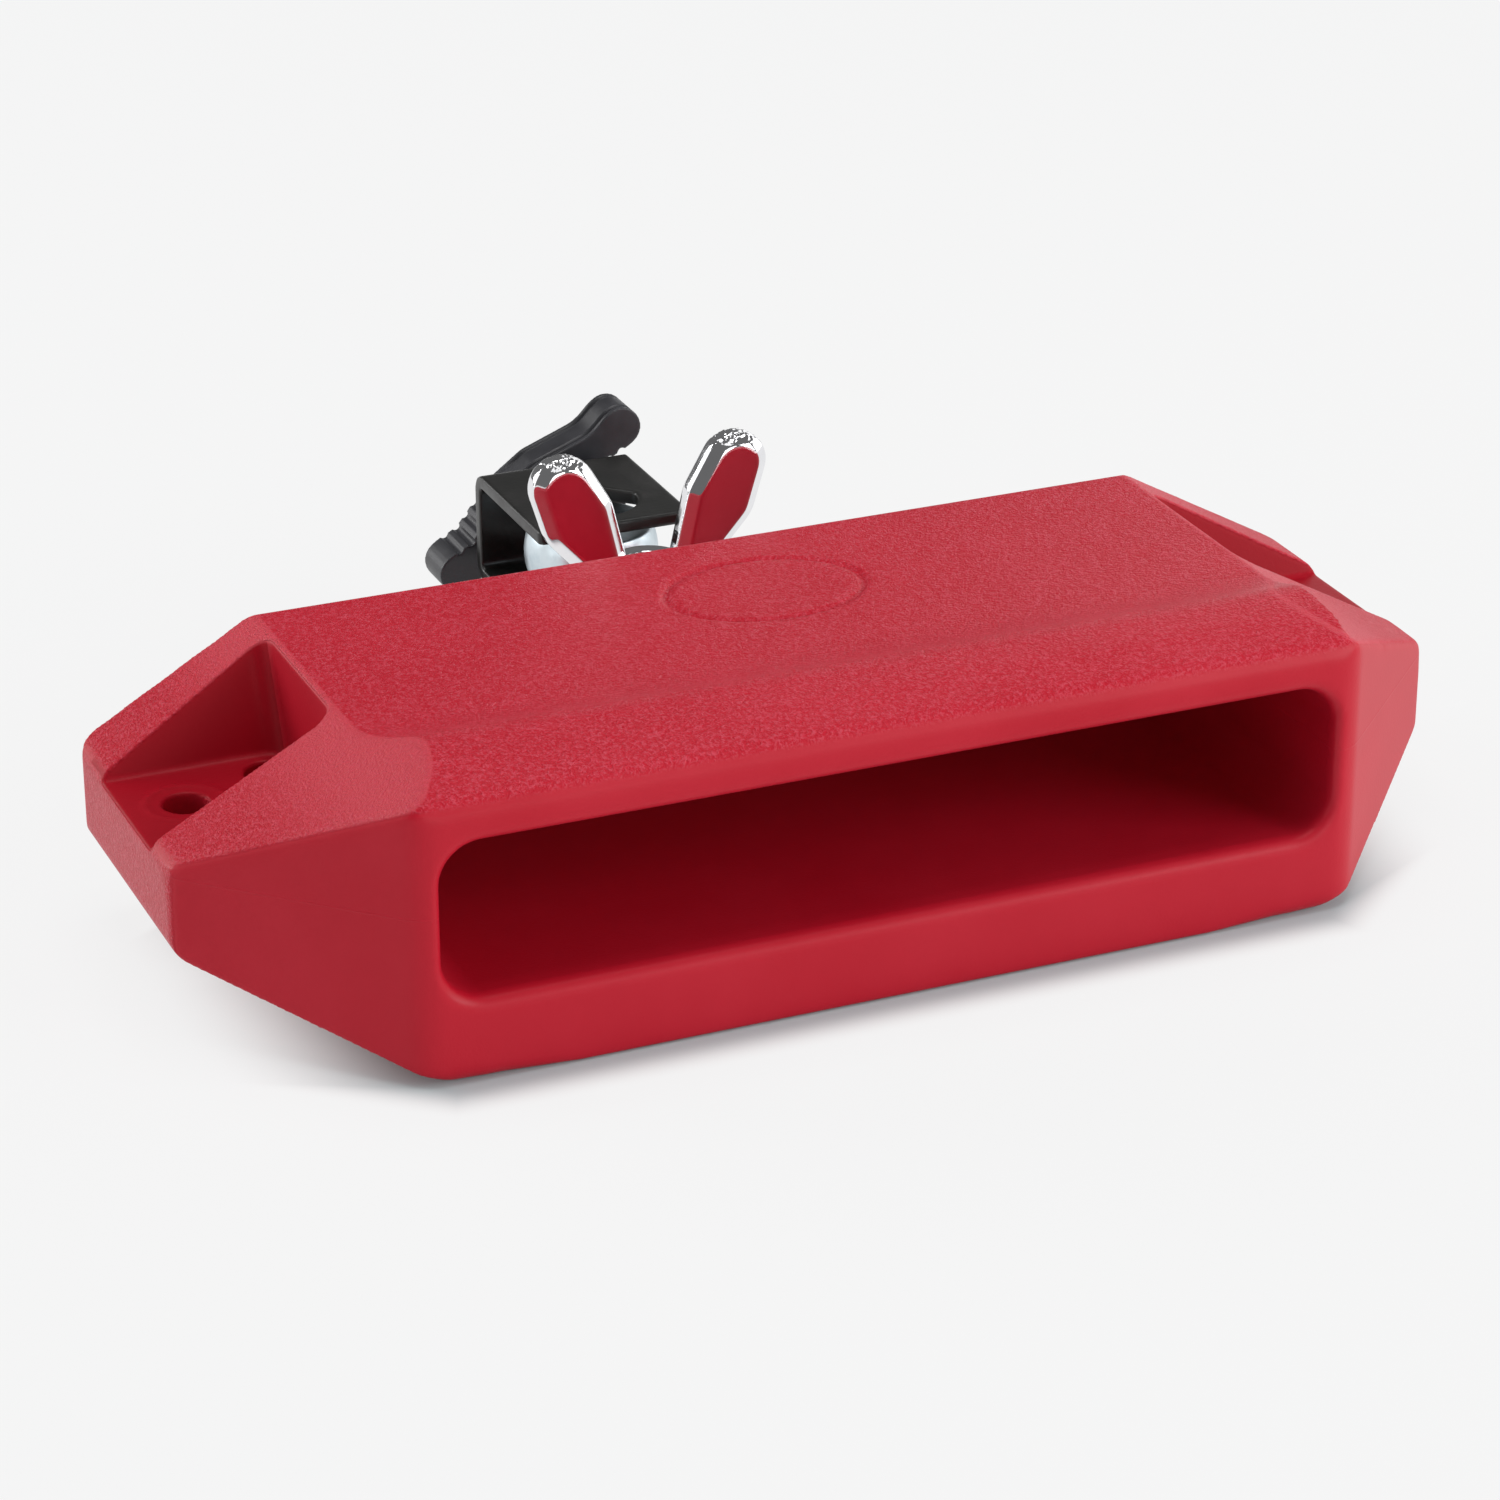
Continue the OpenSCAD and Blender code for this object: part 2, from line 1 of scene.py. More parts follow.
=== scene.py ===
"""Studio scene of a moulded percussion block and the rod clamp on its back.

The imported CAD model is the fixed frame. Each class below models one sub-assembly around it, with its sizes as
fields, and dresses it in its finish. The last classes set the light, the floor and the camera.
"""

import logging
import math
from collections.abc import Callable, Sequence
from dataclasses import dataclass, replace
from enum import Enum
from typing import Any

import bmesh
import bpy
import numpy as np
from mathutils import Matrix, Vector


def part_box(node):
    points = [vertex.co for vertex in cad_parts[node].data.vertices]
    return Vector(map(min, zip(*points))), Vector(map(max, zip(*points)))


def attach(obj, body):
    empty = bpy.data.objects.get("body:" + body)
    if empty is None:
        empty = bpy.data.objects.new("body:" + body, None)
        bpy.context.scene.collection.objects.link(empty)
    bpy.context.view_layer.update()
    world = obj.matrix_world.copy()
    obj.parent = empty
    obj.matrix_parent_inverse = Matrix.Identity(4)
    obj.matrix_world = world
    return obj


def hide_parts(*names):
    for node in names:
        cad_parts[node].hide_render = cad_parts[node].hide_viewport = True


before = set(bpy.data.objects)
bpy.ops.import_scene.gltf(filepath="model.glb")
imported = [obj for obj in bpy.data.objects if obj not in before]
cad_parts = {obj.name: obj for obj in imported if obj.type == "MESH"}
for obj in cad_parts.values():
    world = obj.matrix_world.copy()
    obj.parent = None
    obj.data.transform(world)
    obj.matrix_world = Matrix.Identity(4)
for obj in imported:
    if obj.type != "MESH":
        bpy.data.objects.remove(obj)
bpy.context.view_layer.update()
LOG = logging.getLogger("block_scene")
MM = 0.001
# Distance within which loose corners are one, and strength of each smoothing round
MERGE = 1e-6
EASE = 0.5
Point = tuple[float, float, float]
Span = tuple[float, float]
Weigh = Callable[[np.ndarray, np.ndarray], np.ndarray]
Socket = bpy.types.NodeSocket


class Slot(Enum):
    """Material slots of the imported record."""

    PLASTIC = "red_plastic"
    COATED = "black_steel"
    ZINC = "zinc_steel"
    CHROME = "chrome"
    GRIP = "black_plastic"
    BRASS = "brass"


class NodeSheet:
    """Node tree of one material or world, built a node at a time."""

    def __init__(self, tree: bpy.types.NodeTree) -> None:
        """Starts from an empty tree."""
        self.tree = tree
        self.tree.nodes.clear()

    def node(self, kind: str, inputs: dict[Any, Any] | None = None, **settings: Any) -> bpy.types.Node:
        """Adds a node.

        Args:
            kind: Blender's name of the node type.
            inputs: values or source sockets, by input name or index.
            settings: attributes of the node itself.

        Returns:
            The new node.
        """
        made = self.tree.nodes.new(kind)
        for name, value in settings.items():
            setattr(made, name, value)
        for name, value in (inputs or {}).items():
            if isinstance(value, Socket):
                self.tree.links.new(value, made.inputs[name])
            else:
                made.inputs[name].default_value = value
        return made

    def math(self, operation: str, *values: Socket | float) -> Socket:
        """Adds a Math node and returns its result."""
        return self.node("ShaderNodeMath", dict(enumerate(values)), operation=operation).outputs[0]

    def inverse(self, share: Socket) -> Socket:
        """What is left of 1 beside a share."""
        return self.math("SUBTRACT", 1.0, share)

    def ramp(self, value: Socket, low: float, high: float) -> Socket:
        """Smooth step of value from 0 at low to 1 at high."""
        made = self.node("ShaderNodeMapRange", {0: value, 1: low, 2: high}, interpolation_type="SMOOTHSTEP")
        return made.outputs[0]

    def blend(self, share: Socket, low: Socket | Point, high: Point) -> Socket:
        """Mixes a colour, or the colour from a socket, with a second colour by share."""
        first = low if isinstance(low, Socket) else (*low, 1.0)
        return self.node("ShaderNodeMix", {0: share, 6: first, 7: (*high, 1.0)}, data_type="RGBA").outputs[2]

    def noise(self, where: Socket, size: float, detail: float, rough: float = 0.55) -> Socket:
        """Noise whose blobs are about size metres wide."""
        values = {"Vector": where, "Scale": 1.0 / size, "Detail": detail, "Roughness": rough}
        return self.node("ShaderNodeTexNoise", values).outputs[0]

    def bump(self, relief: Socket, depth: float) -> Socket:
        """Normal of a surface with a relief of the given depth."""
        return self.node("ShaderNodeBump", {"Strength": 1.0, "Distance": depth, "Height": relief}).outputs[0]

    def object_place(self) -> Socket:
        """Place on the piece, in its own coordinates."""
        return self.node("ShaderNodeTexCoord").outputs["Object"]

    def parts(self, vector: Socket) -> Sequence[Socket]:
        """X, Y and Z of a vector."""
        return self.node("ShaderNodeSeparateXYZ", {0: vector}).outputs

    def seen_directly(self) -> Socket:
        """Tells what the camera, a mirror or glass sees from light on its way.

        Returns:
            1 for what is seen, 0 for light.
        """
        path = self.node("ShaderNodeLightPath").outputs
        mirrored = self.math("MAXIMUM", path["Is Camera Ray"], path["Is Glossy Ray"])
        return self.math("MAXIMUM", mirrored, path["Is Transmission Ray"])


@dataclass(frozen=True)
class Finish:
    """Base of all finishes: a named material that is built once."""

    name: str

    def build(self, sheet: NodeSheet) -> Socket:
        """Returns the shader of this finish."""
        raise NotImplementedError

    def material(self) -> bpy.types.Material:
        """Makes the material the first time that it is asked for.

        Returns:
            The material of this finish.
        """
        made = bpy.data.materials.get(self.name)
        if made is None:
            made = bpy.data.materials.new(self.name)
            made.use_nodes = True
            sheet = NodeSheet(made.node_tree)
            sheet.node("ShaderNodeOutputMaterial", {"Surface": self.build(sheet)})
        return made


@dataclass(frozen=True)
class MouldedPlastic(Finish):
    """Dyed plastic, spark-grained on top and at the ends, smoother on its front and its bevelled corners."""

    colour: Point = (0.455, 0.006, 0.02)
    worn: Point = (0.485, 0.01, 0.026)
    cloud: float = 30 * MM
    cloud_range: Span = (0.3, 0.75)
    specular: float = 0.23
    ior: float = 1.5
    roughness: float = 0.41
    # Grain of the top and of the end faces
    grain: float = 0.75 * MM
    fine: float = 0.35 * MM
    fine_share: float = 0.6
    depth: float = 0.3 * MM
    smooth_grain: float = 0.08
    # Painted glints: paler colour on the peaks of the grain
    painted_glint: Point = (0.56, 0.05, 0.08)
    glint_range: Span = (0.7, 1.05)
    facing_up: Span = (0.45, 0.8)
    top_from: Span = (33 * MM, 36 * MM)
    top_dulling: float = 0.3
    facing_out: Span = (0.85, 0.97)
    ends: float = 100 * MM
    grain_polish: float = 0.04
    # Waves all over, and the seam of the mould
    ripple: float = 22 * MM
    ripple_share: float = 0.3
    parting: float = 32.5 * MM
    seam: float = 0.35 * MM
    seam_share: float = 0.12
    # Smooth end pockets with painted shade: a deeper colour and duller gloss
    pocket_from: float = 91 * MM
    pocket_middle: float = 17 * MM
    pocket_half: float = 19.5 * MM
    pocket_floor: float = 32.5 * MM
    pocket_painted_shade: Point = (0.34, 0.004, 0.013)
    pocket_dulling: float = 0.6
    # Plane of the sloping ends, which passes through the shoulder; its paler upper part is a painted sheen, and the
    # whole plane is rougher
    shoulder: Span = (90 * MM, 53.6 * MM)
    slope: float = 0.5486
    slope_from: float = 80 * MM
    slope_near: Span = (0.25 * MM, 0.6 * MM)
    slope_painted_sheen: Point = (0.57, 0.058, 0.078)
    sheen_run: Span = (92 * MM, 113 * MM)
    sheen_share: float = 0.85
    slope_roughness: float = 0.08

    def pocket(self, sheet: NodeSheet, place: Sequence[Socket]) -> Socket:
        """Finds the end pockets.

        Args:
            sheet: the material's nodes.
            place: X, Y and Z on the block.

        Returns:
            1 in the boxes that hold the pockets and their rims, 0 elsewhere.
        """
        outer = sheet.math("GREATER_THAN", sheet.math("ABSOLUTE", place[0]), self.pocket_from)
        from_middle = sheet.math("ABSOLUTE", sheet.math("SUBTRACT", place[1], self.pocket_middle))
        between = sheet.math("LESS_THAN", from_middle, self.pocket_half)
        above = sheet.math("GREATER_THAN", place[2], self.pocket_floor)
        return sheet.math("MULTIPLY", above, sheet.math("MULTIPLY", outer, between))

    def slopes(self, sheet: NodeSheet, place: Sequence[Socket]) -> tuple[Socket, Socket]:
        """Finds the sloping ends, also where they cut the rib.

        Args:
            sheet: the material's nodes.
            place: X, Y and Z on the block.

        Returns:
            Shares of the slopes as a whole, and of their upper part, which gets a painted sheen.
        """
        side = sheet.math("ABSOLUTE", place[0])
        level = sheet.math("MULTIPLY_ADD", side, self.slope, place[2])
        off = sheet.math("ABSOLUTE", sheet.math("SUBTRACT", level, self.shoulder[1] + self.slope * self.shoulder[0]))
        beyond = sheet.math("GREATER_THAN", side, self.slope_from)
        sloping = sheet.math("MULTIPLY", beyond, sheet.inverse(sheet.ramp(off, *self.slope_near)))
        return sloping, sheet.math("MULTIPLY", sloping, sheet.inverse(sheet.ramp(side, *self.sheen_run)))

    def top_and_ends(
        self, sheet: NodeSheet, place: Sequence[Socket], normal: Sequence[Socket]
    ) -> tuple[Socket, Socket]:
        """Finds the grained faces.

        Args:
            sheet: the material's nodes.
            place: X, Y and Z on the block.
            normal: X, Y and Z of the surface's direction.

        Returns:
            Shares of the top, and of the top and the end faces together.
        """
        up = sheet.math("MULTIPLY", sheet.ramp(normal[2], *self.facing_up), sheet.ramp(place[2], *self.top_from))
        end = sheet.ramp(sheet.math("ABSOLUTE", normal[0]), *self.facing_out)
        outer = sheet.math("GREATER_THAN", sheet.math("ABSOLUTE", place[0]), self.ends)
        return up, sheet.math("MAXIMUM", up, sheet.math("MULTIPLY", end, outer))

    def relief(self, sheet: NodeSheet, where: Socket, height: Socket, grain: Socket) -> Socket:
        """Adds the waves and the mould's seam to the grain.

        Args:
            sheet: the material's nodes.
            where: place on the block.
            height: its Z.
            grain: relief of the grain alone.

        Returns:
            The whole relief.
        """
        from_seam = sheet.math("ABSOLUTE", sheet.math("SUBTRACT", height, self.parting))
        ridge = sheet.inverse(sheet.ramp(from_seam, 0.0, self.seam))
        waves = sheet.noise(where, self.ripple, detail=2.0)
        relief = sheet.math("MULTIPLY_ADD", waves, self.ripple_share, grain)
        return sheet.math("MULTIPLY_ADD", ridge, self.seam_share, relief)

    def build(self, sheet: NodeSheet) -> Socket:
        """Builds the plastic's nodes.

        Args:
            sheet: the material's nodes.

        Returns:
            The shader of this finish.
        """
        coordinates = sheet.node("ShaderNodeTexCoord").outputs
        where = coordinates["Object"]
        place = sheet.parts(where)
        up, grained = self.top_and_ends(sheet, place, sheet.parts(coordinates["Normal"]))
        sloping, upper = self.slopes(sheet, place)
        smooth = sheet.math("MULTIPLY", self.pocket(sheet, place), sheet.inverse(grained))

        leather = sheet.noise(where, self.grain, detail=2.0, rough=0.6)
        spark = sheet.noise(where, self.fine, detail=1.0, rough=0.5)
        pattern = sheet.math("MULTIPLY_ADD", spark, self.fine_share, leather)
        amount = sheet.math("MULTIPLY_ADD", grained, 1.0 - self.smooth_grain, self.smooth_grain)
        relief = self.relief(sheet, where, place[2], sheet.math("MULTIPLY", pattern, amount))

        cloud = sheet.ramp(sheet.noise(where, self.cloud, detail=4.0), *self.cloud_range)
        # Painted shade: deeper colour in the end pockets; the cloudy tone elsewhere is the plastic's own
        colour = sheet.blend(smooth, sheet.blend(cloud, self.colour, self.worn), self.pocket_painted_shade)
        # Painted sheen: paler colour on the upper part of the sloping ends
        colour = sheet.blend(sheet.math("MULTIPLY", upper, self.sheen_share), colour, self.slope_painted_sheen)
        # Painted glints: paler colour on the grain's peaks on the top and end faces
        glint_share = sheet.math("MULTIPLY", sheet.ramp(pattern, *self.glint_range), grained)

        polished = sheet.math("MULTIPLY_ADD", grained, -self.grain_polish, self.roughness)
        gloss = sheet.math("MULTIPLY_ADD", smooth, -self.pocket_dulling * self.specular, self.specular)
        values = {
            "Base Color": sheet.blend(glint_share, colour, self.painted_glint),
            "Roughness": sheet.math("MULTIPLY_ADD", sloping, self.slope_roughness, polished),
            "Normal": sheet.bump(relief, self.depth),
            "IOR": self.ior,
            "Specular IOR Level": sheet.math("MULTIPLY_ADD", up, -self.top_dulling * self.specular, gloss),
        }
        return sheet.node("ShaderNodeBsdfPrincipled", values).outputs[0]


@dataclass(frozen=True)
class Metal(Finish):
    """Bare or plated metal with stains and fine unevenness."""

    colour: Point
    stained: Point
    roughness: Span
    stain: float = 6 * MM
    stain_range: Span = (0.35, 0.7)
    grain: float = 0.6 * MM
    depth: float = 0.01 * MM

    def build(self, sheet: NodeSheet) -> Socket:
        """Builds the metal's nodes.

        Args:
            sheet: the material's nodes.

        Returns:
            The shader of this finish.
        """
        where = sheet.object_place()
        mark = sheet.ramp(sheet.noise(where, self.stain, detail=4.0, rough=0.6), *self.stain_range)
        span = self.roughness[1] - self.roughness[0]
        values = {
            "Base Color": sheet.blend(mark, self.colour, self.stained),
            "Metallic": 1.0,
            "Roughness": sheet.math("MULTIPLY_ADD", mark, span, self.roughness[0]),
            "Normal": sheet.bump(sheet.noise(where, self.grain, detail=2.0), self.depth),
        }
        return sheet.node("ShaderNodeBsdfPrincipled", values).outputs[0]


@dataclass(frozen=True)
class Coating(Finish):
    """Opaque coat or dark moulded plastic with an orange-peel skin."""

    colour: Point
    dusty: Point
    roughness: Span = (0.3, 0.45)
    cloud: float = 9 * MM
    cloud_range: Span = (0.35, 0.75)
    peel: float = 1.2 * MM
    depth: float = 0.03 * MM
    specular: float = 0.5

    def build(self, sheet: NodeSheet) -> Socket:
        """Builds the coating's nodes.

        Args:
            sheet: the material's nodes.

        Returns:
            The shader of this finish.
        """
        where = sheet.object_place()
        dust = sheet.ramp(sheet.noise(where, self.cloud, detail=5.0, rough=0.6), *self.cloud_range)
        span = self.roughness[1] - self.roughness[0]
        values = {
            "Base Color": sheet.blend(dust, self.colour, self.dusty),
            "Roughness": sheet.math("MULTIPLY_ADD", dust, span, self.roughness[0]),
            "Specular IOR Level": self.specular,
            "Normal": sheet.bump(sheet.noise(where, self.peel, detail=2.0), self.depth),
        }
        return sheet.node("ShaderNodeBsdfPrincipled", values).outputs[0]


RED = MouldedPlastic("grained_red_plastic")
STEEL_BLACK = Coating("black_powder_coat", colour=(0.009, 0.009, 0.008), dusty=(0.016, 0.015, 0.014))
GRIP_BLACK = Coating(
    "black_grip_plastic",
    colour=(0.022, 0.022, 0.026),
    dusty=(0.034, 0.034, 0.04),
    roughness=(0.38, 0.5),
    peel=0.5 * MM,
    depth=0.015 * MM,
)
ZINC = Metal("zinc_plate", colour=(0.66, 0.74, 0.78), stained=(0.52, 0.61, 0.66), roughness=(0.3, 0.45))
CHROME = Metal(
    "bright_chrome", colour=(0.86, 0.86, 0.88), stained=(0.82, 0.82, 0.84), roughness=(0.05, 0.09), grain=3 * MM
)
BRASS = Metal("turned_brass", colour=(0.75, 0.52, 0.2), stained=(0.6, 0.4, 0.15), roughness=(0.25, 0.4))


def mesh_of(name: str, shape: bmesh.types.BMesh) -> bpy.types.Object:
    """Turns a bmesh into an object of the scene, with its faces outward.

    Args:
        name: name of the object and its mesh.
        shape: the bmesh, which is freed.

    Returns:
        The new object.
    """
    bmesh.ops.recalc_face_normals(shape, faces=shape.faces)
    mesh = bpy.data.meshes.new(name)
    shape.to_mesh(mesh)
    shape.free()
    made = bpy.data.objects.new(name, mesh)
    bpy.context.scene.collection.objects.link(made)
    return made


def settle(piece: bpy.types.Object) -> None:
    """Applies a piece's modifiers to its own mesh.

    Args:
        piece: the object, which keeps its name.
    """
    graph = bpy.context.evaluated_depsgraph_get()
    mesh = bpy.data.meshes.new_from_object(piece.evaluated_get(graph))
    old = piece.data
    piece.modifiers.clear()
    piece.data = mesh
    bpy.data.meshes.remove(old)
    mesh.name = piece.name


def merged_shape(node: str) -> bmesh.types.BMesh:
    """Copies a CAD node's shape and merges its loose corners.

    Args:
        node: name of the CAD node.

    Returns:
        The copy.
    """
    shape = bmesh.new()
    shape.from_mesh(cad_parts[node].data)
    bmesh.ops.remove_doubles(shape, verts=shape.verts, dist=MERGE)
    return shape


def bisect(shape: bmesh.types.BMesh, place: Point, facing: Point, **settings: Any) -> list[Any]:
    """Cuts a whole shape by a plane.

    Args:
        shape: the shape.
        place: a place on the plane.
        facing: direction that the plane faces.
        settings: further settings of the cut.

    Returns:
        The corners and edges that lie on the cut.
    """
    parts = list(shape.verts) + list(shape.edges) + list(shape.faces)
    done = bmesh.ops.bisect_plane(shape, geom=parts, plane_co=place, plane_no=facing, dist=MERGE, **settings)
    return done["geom_cut"]


def step_down(values: np.ndarray, near: float, far: float) -> np.ndarray:
    """1 up to near, 0 from far on, and a smooth slope between them."""
    share = np.clip((far - values) / (far - near), 0.0, 1.0)
    return share * share * (3.0 - 2.0 * share)


@dataclass(frozen=True)
class Press:
    """Local change of a skin: a sunk line, cast lumps or a wider rounding.

    Args:
        weigh: gives each corner's share from the corners' places and directions.
        depth: how deep full shares sink.
        rounds: smoothing rounds at full shares.
        lumps: width of the lumps that the depth is broken into, or 0 for an even depth.
        levels: steps into which the shares are divided.
    """

    weigh: Weigh
    depth: float = 0.0
    rounds: int = 0
    lumps: float = 0.0
    levels: int = 16

    def add(self, piece: bpy.types.Object, name: str) -> None:
        """Adds this change to a piece as a modifier.

        Args:
            piece: the object.
            name: name of the modifier, its vertex group and its texture.
        """
        mesh = piece.data
        count = len(mesh.vertices)
        places = np.empty(3 * count, dtype=np.float32)
        facing = np.empty(3 * count, dtype=np.float32)
        mesh.vertices.foreach_get("co", places)
        mesh.vertices.foreach_get("normal", facing)
        shares = np.rint(self.levels * self.weigh(places.reshape(-1, 3), facing.reshape(-1, 3))).astype(int)
        group = piece.vertex_groups.new(name=name)
        for level in range(1, self.levels + 1):
            group.add(np.flatnonzero(shares == level).tolist(), level / self.levels, "REPLACE")
        if self.rounds:
            ease = piece.modifiers.new(name, "SMOOTH")
            ease.factor = EASE
            ease.iterations = self.rounds
            ease.vertex_group = group.name
            return
        sink = piece.modifiers.new(name, "DISPLACE")
        sink.vertex_group = group.name
        sink.mid_level = 0.0
        sink.strength = -self.depth
        if self.lumps:
            sink.texture = bpy.data.textures.new(name, "CLOUDS")
            sink.texture.noise_scale = self.lumps
            sink.texture.noise_depth = 2
            sink.texture_coords = "LOCAL"


@dataclass(frozen=True)
class Skin:
    """How a piece's edges are rounded.

    Args:
        cell: size of the cells that the piece is fused from.
        rounds: smoothing rounds over the whole piece.
        keep: share of the faces that is kept.
    """

    cell: float
    rounds: int
    keep: float

    def wrap(self, piece: bpy.types.Object, *presses: Press) -> None:
        """Fuses a piece's shells into one skin, rounds its edges and presses local changes into it.

        Args:
            piece: the object.
            presses: the local changes, in order.
        """
        coarse = 1
        piece.data.materials.clear()
        skin = piece.modifiers.new("skin", "REMESH")
        skin.mode = "VOXEL"
        skin.voxel_size = self.cell * coarse
        skin.adaptivity = 0.0
        ease = piece.modifiers.new("ease", "SMOOTH")
        ease.factor = EASE
        ease.iterations = max(1, self.rounds // coarse)
        settle(piece)
        for index, press in enumerate(presses):
            press.add(piece, f"press_{index}")
        thin = piece.modifiers.new("thin", "DECIMATE")
        thin.ratio = self.keep
        settle(piece)
        piece.data.polygons.foreach_set("use_smooth", [True] * len(piece.data.polygons))


def finish_piece(piece: bpy.types.Object, body: str, slot: Slot, finish: Finish, *nodes: str) -> None:
    """Dresses a piece, ties it to its body and lets it stand for its CAD nodes.

    Args:
        piece: the object.
        body: the moving body that it rides on.
        slot: its material slot in the record; not used.
        finish: what it is dressed in.
        nodes: the CAD nodes that it replaces, or none for a detail beside them.
    """
    piece.data.materials.clear()
    piece.data.materials.append(finish.material())
    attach(piece, body)
    if nodes:
        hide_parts(*nodes)
    LOG.info("%s: %d faces", piece.name, len(piece.data.polygons))


@dataclass
class MouldedBlock:
    """Block with its slot, chamber, pockets and lug, as it comes out of the mould."""

    top: float = 53.6 * MM
    top_half: float = 90 * MM
    end_half: float = 125 * MM
    end_high: float = 34.4 * MM
    front: float = -46.75 * MM
    end_front: float = -12.35 * MM
    foot_half: float = 85.5 * MM
    heel_high: float = 7 * MM
    base_edge: float = 3 * MM
    crisp_edge: float = 1 * MM
    crisp_ends: Span = (62 * MM, 76 * MM)
    soft_reach: Span = (2.5 * MM, 6.5 * MM)
    soft_rounds: int = 46
    oval_centre: Span = (1.6 * MM, 19.85 * MM)
    oval_half: Span = (19.2 * MM, 14.2 * MM)
    oval_line: Span = (0.35 * MM, 1.0 * MM)
    oval_depth: float = 0.55 * MM
    oval_facing: float = 0.9
    oval_below: float = 1 * MM
    skin: Skin = Skin(cell=0.5 * MM, rounds=5, keep=0.2)

    def crisp_base(self, shape: bmesh.types.BMesh) -> None:
        """Narrows the rounding along the foot of the front and back walls, and lets it widen to the corners.

        Args:
            shape: the block's merged shape.
        """
        for place in (*self.crisp_ends, *(-place for place in self.crisp_ends)):
            bisect(shape, (place, 0, 0), (1, 0, 0))
        for corner in shape.verts:
            height = corner.co.z
            if height < self.base_edge + MERGE and abs(corner.co.x) < self.crisp_ends[1]:
                share = float(step_down(np.array(abs(corner.co.x)), *self.crisp_ends))
                share *= 1.0 - self.crisp_edge / self.base_edge
                level = max(0.0, self.base_edge - height)
                inset = self.base_edge - math.sqrt(max(0.0, self.base_edge**2 - level**2))
                corner.co.y += math.copysign(share * inset, corner.co.y)
                corner.co.z = height * (1.0 - share)

    def oval(self, places: np.ndarray, facing: np.ndarray) -> np.ndarray:
        """Weighs an oval line in the top.

        Args:
            places: the skin's corners.
            facing: their directions.

        Returns:
            Each corner's share.
        """
        offset = (places[:, :2] - self.oval_centre) / self.oval_half
        radius = np.hypot(offset[:, 0], offset[:, 1])
        distance = np.abs(radius - 1.0) * sum(self.oval_half) / 2
        on_top = (facing[:, 2] > self.oval_facing) * (places[:, 2] > self.top - self.oval_below)
        return step_down(distance, *self.oval_line) * on_top

    def soft_edges(self, places: np.ndarray, _facing: np.ndarray) -> np.ndarray:
        """Weighs the widely rounded edges: in front of each sloping end, and at the front's lower corners.

        Args:
            places: the skin's corners.
            _facing: their directions, which change nothing here.

        Returns:
            Each corner's share.
        """
        shares = np.zeros(len(places))
        for side in (-1.0, 1.0):
            nose = (side * self.end_half, self.end_front, self.end_high)
            shoulder = (side * self.top_half, self.front, self.top)
            foot = (side * self.foot_half, self.front, 0.0)
            heel = (side * self.foot_half, self.front, self.heel_high)
            for start, end in ((nose, shoulder), (foot, heel)):
                run = np.subtract(end, start)
                along = np.clip((places - start) @ run / (run @ run), 0.0, 1.0)
                distance = np.linalg.norm(places - start - along[:, None] * run, axis=1)
                shares = np.maximum(shares, step_down(distance, *self.soft_reach))
        return shares

    def build(self) -> None:
        """Builds and dresses the block."""
        shape = merged_shape("block_body")
        self.crisp_base(shape)
        block = mesh_of("moulded_block", shape)
        self.skin.wrap(block, Press(self.soft_edges, rounds=self.soft_rounds), Press(self.oval, self.oval_depth))
        finish_piece(block, "block", Slot.PLASTIC, RED, "block_body")


